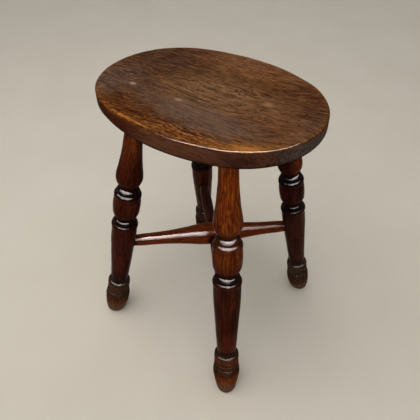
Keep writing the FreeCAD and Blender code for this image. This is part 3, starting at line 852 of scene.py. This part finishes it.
# Finishes
def fading_patch(tree, place, centre_mm, reach_mm, strength=1.0):
    """A share that fades out from a spot on the wood, over a reach along and across the board."""
    offset = vector_maths(tree, "SUBTRACT", place, [side * MM for side in centre_mm] + [0.0])
    scaled = vector_maths(tree, "MULTIPLY", offset, [1 / (side * MM) for side in reach_mm] + [0.0])
    distance = vector_maths(tree, "LENGTH", scaled).outputs["Value"]
    return band(tree, distance, 1.0, 0.25, 0.0, strength)


def lay_patches(tree, base, place, patches):
    """Lay a table of patches over a colour, one after another."""
    for code, centre, reach, strength in patches:
        base = tint(tree, base, colour(code), fading_patch(tree, place, centre, reach, strength))
    return base


def make_polished_beech(name, tones, warm_side, seed, cool_side=0.15, gloss=0.11, rubbed=0.55,
                        haze=0.12, edge_gloss=3.5):
    """French-polished beech: dark red-brown shellac, worn through to orange, black in the turned hollows with
    black polish and painted shade, and darker under the swellings and round the joints with painted shade.

    The wood's fine straight grain runs along the turning. The polish gives it a hard wet gloss.
    """
    material, tree = new_material(name)
    dark, body, worn_wood, glow = [colour(code) for code in tones]
    grain = read_mark(tree, "grain", "Vector")
    streaks = wood_noise(tree, grain, (3.0, 3.0, 80.0), 4.0)
    fibres = wood_noise(tree, grain, (1.6, 1.6, 90.0), 2.0, 3.0)
    clouds = wood_noise(tree, grain, (12.0, 12.0, 50.0), 3.0)
    specks = wood_noise(tree, grain, (2.2, 2.2, 9.0), 3.0, 8.0)

    # One side is laid warmer and the other darker: on the legs this is partly wear and partly painted light,
    # the dark side a painted shade
    from_axis = vector_maths(tree, "SUBTRACT", grain, (seed, seed, 0.0))
    from_axis = vector_maths(tree, "NORMALIZE", vector_maths(tree, "MULTIPLY", from_axis, (1.0, 1.0, 0.0)))
    facing = vector_maths(tree, "DOT_PRODUCT", from_axis, warm_side).outputs["Value"]
    warm = maths(tree, "MULTIPLY", band(tree, facing, 0.0, 0.95, cool_side, 1.0), read_mark(tree, "warmth"))

    # The stain shows streaked grain, and wear uncovers the brighter wood
    base = tint(tree, dark, body, band(tree, streaks, 0.30, 0.66))
    wear = maths(tree, "MULTIPLY", band(tree, clouds, 0.30, 0.60, 0.45, 1.0), warm)
    base = tint(tree, base, worn_wood, wear)
    glowing = maths(tree, "MULTIPLY", band(tree, fibres, 0.44, 0.66, 0.0, 0.8), wear)
    base = tint(tree, base, glow, glowing)
    base = tint(tree, base, colour("#541408"), band(tree, clouds, 0.52, 0.66, 0.0, 0.4))
    base = tint(tree, base, dark, band(tree, specks, 0.50, 0.66, 0.0, 0.55))

    # Black polish and painted shade in the hollows, painted shade under the swellings, at the necks and on
    # the foot's ring and instep, dust near the floor, and dirt and painted shade round the joints
    base = tint(tree, base, colour("#0c0503"), read_mark(tree, "grime"))
    dust = maths(tree, "MULTIPLY", read_mark(tree, "dust"), band(tree, specks, 0.35, 0.65, 0.75, 0.2))
    base = tint(tree, base, colour("#5a4636"), dust)
    dirt = band(tree, read_mark(tree, "joint_dirt_and_shade"), 0.0, 1.0, 0.0, 0.85)
    base = tint(tree, base, colour("#090403"), dirt)

    # The gloss is patchy where the polish is rubbed away, and strongest where it is seen at a slant
    patchy = band(tree, clouds, 0.35, 0.60, rubbed, 1.0)
    slant = add_node(tree, "ShaderNodeLayerWeight", {"Blend": 0.5}).outputs["Facing"]
    shine = maths(tree, "MULTIPLY", read_mark(tree, "polish"), patchy)
    shine = maths(tree, "MULTIPLY", shine, band(tree, slant, 0.5, 0.95, gloss, gloss * edge_gloss))

    bump = add_node(tree, "ShaderNodeBump", {"Strength": 0.2, "Distance": 0.25 * MM, "Height": fibres})
    shader = add_node(tree, "ShaderNodeBsdfPrincipled", {
        "Base Color": base, "Roughness": 0.5, "Specular IOR Level": 0.0, "Coat Weight": shine,
        "Coat Roughness": haze, "Coat IOR": 1.5, "Normal": bump, "Coat Normal": bump})
    finish_material(tree, shader)
    return material


def make_waxed_elm():
    """Waxed elm over an old dark stain: short open grain along the board, worn golden at the rim.

    The wax is dull on the top and the side, and only the rubbed front arris has a shine. A painted sheen
    greys the hollow, and painted shade darkens the side's lowest edge.
    """
    material, tree = new_material("old waxed elm")
    place = add_node(tree, "ShaderNodeTexCoord").outputs["Object"]
    rim_gold = read_mark(tree, "rim_gold")
    clouds = wood_noise(tree, place, (24.0, 13.0, 13.0), 4.0, 5.0)

    # The grain runs a little aslant of the board's length, and wanders
    bend = maths(tree, "MULTIPLY", wood_noise(tree, place, (130.0, 80.0, 80.0), 1.0, 11.0), 50.0 * MM)
    along = add_node(tree, "ShaderNodeMapping", {"Vector": place, "Rotation": (0.0, 0.0, math.radians(-9))})
    along = vector_maths(tree, "ADD", along, add_node(tree, "ShaderNodeCombineXYZ", {"Y": bend}))
    figure = wood_noise(tree, along, (21.0, 2.5, 4.0), 2.0, 3.0, 0.62)
    grain = wood_noise(tree, along, (24.0, 2.1, 4.0), 2.0, 9.0, 0.62)
    pores = wood_noise(tree, along, (6.5, 1.8, 2.2), 3.0, 7.0, 0.62)

    # Stains have wandering edges
    cloudy = add_node(tree, "ShaderNodeTexNoise", {"Vector": place, "Scale": 60.0, "Detail": 4.0})
    drift = vector_maths(tree, "SUBTRACT", cloudy.outputs["Color"], (0.5, 0.5, 0.5))
    drift = add_node(tree, "ShaderNodeVectorMath", {0: drift, "Scale": 45.0 * MM}, operation="SCALE")
    drift = vector_maths(tree, "ADD", drift, place)

    # The stain is worn to lighter brown in the middle and to gold where hands and knees pass, and a painted
    # sheen greys the hollow
    base = lay_patches(tree, colour("#553317"), drift, SEAT_PATCHES)
    gilt = maths(tree, "MULTIPLY", rim_gold, band(tree, clouds, 0.34, 0.56, 0.35, 1.0))
    base = tint(tree, base, colour("#b06c24"), gilt)

    # Grain: pale figure, dark grain and pores
    base = tint(tree, base, colour("#20100a"), band(tree, clouds, 0.48, 0.68, 0.0, 0.6))
    base = tint(tree, base, colour("#a8743e"), band(tree, figure, 0.44, 0.70, 0.0, 0.34))
    base = tint(tree, base, colour("#24120a"), band(tree, grain, 0.42, 0.68, 0.0, 0.68))
    rubbed = maths(tree, "MULTIPLY", fading_patch(tree, drift, (96, -101), (74, 25)),
                   band(tree, figure, 0.44, 0.68, 0.0, 0.42))
    base = tint(tree, base, colour("#c47c2e"), rubbed)
    mottled = fading_patch(tree, drift, (20, -112), (150, 34))
    reddened = maths(tree, "MULTIPLY", mottled, band(tree, grain, 0.40, 0.60, 0.0, 0.65))
    base = tint(tree, base, colour("#481404"), reddened)
    fleck = maths(tree, "MULTIPLY_ADD", mottled, 0.08, pores)
    base = tint(tree, base, colour("#160803"), band(tree, fleck, 0.55, 0.63, 0.0, 0.85))
    base = tint(tree, base, colour("#b0702e"), band(tree, rim_gold, 0.5, 0.95, 0.0, 0.6))

    # Painted sheen: the hollow is laid a little milky grey, standing in for its reflection of the light
    base = tint(tree, base, colour("#665244"), fading_patch(tree, drift, (30, -62), (130, 42), 0.3))

    base = lay_patches(tree, base, place, SEAT_MARKS)

    # The side keeps its old red-brown stain
    sides = tint(tree, colour("#3c2218"), colour("#543424"), band(tree, clouds, 0.35, 0.65))
    sides = lay_patches(tree, sides, place, SIDE_PATCHES)
    sides = tint(tree, sides, colour("#1e0e07"), band(tree, grain, 0.46, 0.66, 0.0, 0.5))
    sides = tint(tree, sides, colour("#844a20"), rim_gold)
    # Painted shade: the side darkens over its lowest millimetres, towards its rounded-under edge
    height = add_node(tree, "ShaderNodeSeparateXYZ", {0: place}).outputs["Z"]
    shade = band(tree, height, UNDERSIDE + 7 * MM, UNDERSIDE + 2 * MM, 0.0, 0.8)
    sides = tint(tree, sides, colour("#0e0908"), shade)
    base = tint(tree, base, sides, band(tree, read_mark(tree, "edge"), 0.3, -0.6, 0.0, 1.0))

    # The rubbed front arris shines softly
    bump = add_node(tree, "ShaderNodeBump", {"Strength": 0.35, "Distance": 0.3 * MM, "Height": grain})
    shine = band(tree, read_mark(tree, "rim_shine"), 0.2, 1.0, 0.015, 0.10)
    shader = add_node(tree, "ShaderNodeBsdfPrincipled", {
        "Base Color": base, "Roughness": 0.5, "Specular IOR Level": 0.0, "Coat Weight": shine,
        "Coat Roughness": 0.24, "Coat IOR": 1.5, "Normal": bump})
    finish_material(tree, shader)
    return material


def make_pale_floor():
    """Pale smooth plaster, a quiet ground for the stool's shadow."""
    material, tree = new_material("pale plaster")
    place = add_node(tree, "ShaderNodeTexCoord").outputs["Object"]
    clouds = wood_noise(tree, place, (220.0, 220.0, 220.0), 4.0)
    base = tint(tree, colour("#c7bdac"), colour("#d3cabb"), clouds)
    shader = add_node(tree, "ShaderNodeBsdfPrincipled",
                      {"Base Color": base, "Roughness": 0.9, "Specular IOR Level": 0.0})
    finish_material(tree, shader)
    return material


# Stage
def add_floor():
    mesh = bpy.data.meshes.new("floor")
    side = 6.0
    corners = [(-side, -side, 0), (side, -side, 0), (side, side, 0), (-side, side, 0)]
    mesh.from_pydata(corners, [], [(0, 1, 2, 3)])
    mesh.materials.append(make_pale_floor())
    floor = add_object("floor", mesh)


# The camera's place, its focal length as a share of the picture's width, and the lights
CAMERA_TURN = math.radians(36.52)
CAMERA_HEIGHT = math.radians(43.73)
CAMERA_ROLL = math.radians(-0.39)
CAMERA_AIM = Vector((0.0, -0.002, 0.237))
CAMERA_DISTANCE = 0.7064
SENSOR_WIDTH = 36.0
FOCAL_SHARE = 421.07 / 420
LIGHTS_AIM = Vector((0, 0, 0.25))
LAMP_GLOW = 2.5
CARD_GLOW = 70.0
CARDS = (("card_left", -75, 62), ("card_half_left", -35, 57), ("card_middle", 5, 57),
         ("card_half_right", 45, 62), ("card_right", 85, 68))


def add_camera():
    """The photograph's viewpoint: above the front right leg, looking down at the seat."""
    forward = Vector((-math.sin(CAMERA_TURN) * math.cos(CAMERA_HEIGHT),
                      math.cos(CAMERA_TURN) * math.cos(CAMERA_HEIGHT), -math.sin(CAMERA_HEIGHT)))
    lens = bpy.data.cameras.new("camera")
    lens.sensor_width = SENSOR_WIDTH
    lens.lens = SENSOR_WIDTH * FOCAL_SHARE
    camera = add_object("camera", lens)
    turn = forward.to_track_quat("-Z", "Y").to_matrix().to_4x4()
    camera.matrix_world = (Matrix.Translation(CAMERA_AIM - forward * CAMERA_DISTANCE) @ turn
                           @ Matrix.Rotation(CAMERA_ROLL, 4, "Z"))
    bpy.context.scene.camera = camera


def add_softbox(name, turn, height, distance, width, depth, glow, reflect_only=False):
    """A rectangular lamp aimed at the stool. The turn is from the camera's side, the glow its brightness."""
    turn = math.radians(turn) + CAMERA_TURN
    height = math.radians(height)
    toward = Vector((math.sin(turn) * math.cos(height), -math.cos(turn) * math.cos(height), math.sin(height)))
    lamp = bpy.data.lights.new(name, "AREA")
    lamp.shape = "RECTANGLE"
    lamp.size = width
    lamp.size_y = depth
    lamp.energy = glow * math.pi * width * depth
    box = add_object(name, lamp)
    box.matrix_world = (Matrix.Translation(LIGHTS_AIM + toward * distance)
                        @ toward.to_track_quat("Z", "Y").to_matrix().to_4x4())
    box.visible_diffuse = not reflect_only


def add_lights():
    """One broad soft lamp, and five cards that only the polish mirrors."""
    add_softbox("softbox", turn=-60, height=72, distance=1.6, width=1.7, depth=1.4, glow=LAMP_GLOW)
    for name, turn, height in CARDS:
        add_softbox(name, turn, height, distance=1.3, width=0.7, depth=1.5, glow=CARD_GLOW, reflect_only=True)
    world = bpy.data.worlds.new("studio")
    world.use_nodes = True
    world.node_tree.nodes.clear()
    sky = add_node(world.node_tree, "ShaderNodeBackground", {"Color": colour("#f4f6fa"), "Strength": 0.6})
    add_node(world.node_tree, "ShaderNodeOutputWorld", {"Surface": sky})
    bpy.context.scene.world = world


def crossing_point(start_a, end_a, start_b, end_b):
    """Where two level lines at one height cross, seen from above."""
    run_a = end_a - start_a
    run_b = end_b - start_b
    between = start_b - start_a
    share = (between.x * run_b.y - between.y * run_b.x) / (run_a.x * run_b.y - run_a.y * run_b.x)
    return start_a + run_a * share


add_camera()
add_lights()
add_floor()

# The stool
legs = {name: LegLine(name) for name in LEGS}
joints = {name: leg.at_height(STRETCHER_HEIGHT) for name, leg in legs.items()}
crossing = crossing_point(joints["leg_front_left"], joints["leg_back_right"],
                          joints["leg_front_right"], joints["leg_back_left"])
long_direction = (joints["leg_back_right"] - joints["leg_front_left"]).normalized()
short_direction = (joints["leg_back_left"] - joints["leg_front_right"]).normalized()

turning = build_turning_tree()
for seed, (name, direction, tenon) in enumerate((
        ("leg_front_left", long_direction * -1, LONG_TENON),
        ("leg_front_right", short_direction * -1, SHORT_TENON),
        ("leg_back_left", short_direction, SHORT_TENON),
        ("leg_back_right", long_direction, LONG_TENON))):
    leg = legs[name]
    shift = LEG_SEED_STEP * (seed + 1)
    warm_bearing = CAMERA_TURN + math.radians(leg.plan["warm_turn"])
    warm_side = Vector((math.sin(warm_bearing), -math.cos(warm_bearing), 0.0))
    warm_side = leg.place.to_3x3().inverted() @ warm_side
    finish = make_polished_beech("polished beech, " + name.replace("_", " "), LEG_TONES, warm_side, shift,
                                 leg.plan["cool_side"])
    make_leg(turning, leg, direction, tenon, finish, shift)

rubbed_side = Vector((-1.0, 0.0, 0.0))
long_finish = make_polished_beech("polished beech, long stretcher", LONG_TONES, rubbed_side, LONG_SEED,
                                  gloss=0.13, rubbed=0.85, haze=0.14, edge_gloss=1.5)
short_finish = make_polished_beech("dark polished beech, short stretchers", SHORT_TONES, rubbed_side,
                                   SHORT_FRONT_SEED, gloss=0.16)
make_long_stretcher(turning, joints["leg_front_left"], joints["leg_back_right"], crossing, short_direction,
                    long_finish)
make_short_stretcher(turning, "stretcher_short_front", joints["leg_front_right"], crossing, short_finish,
                     SHORT_FRONT_SEED)
make_short_stretcher(turning, "stretcher_short_back", joints["leg_back_left"], crossing, short_finish,
                     SHORT_BACK_SEED)

seat_mesh = bore_sockets(make_seat_mesh(), legs.values())
seat_mesh.materials.clear()
seat_mesh.materials.append(make_waxed_elm())
add_piece("seat_board", seat_mesh, ["seat"])

bpy.context.scene.view_settings.view_transform = "Standard"
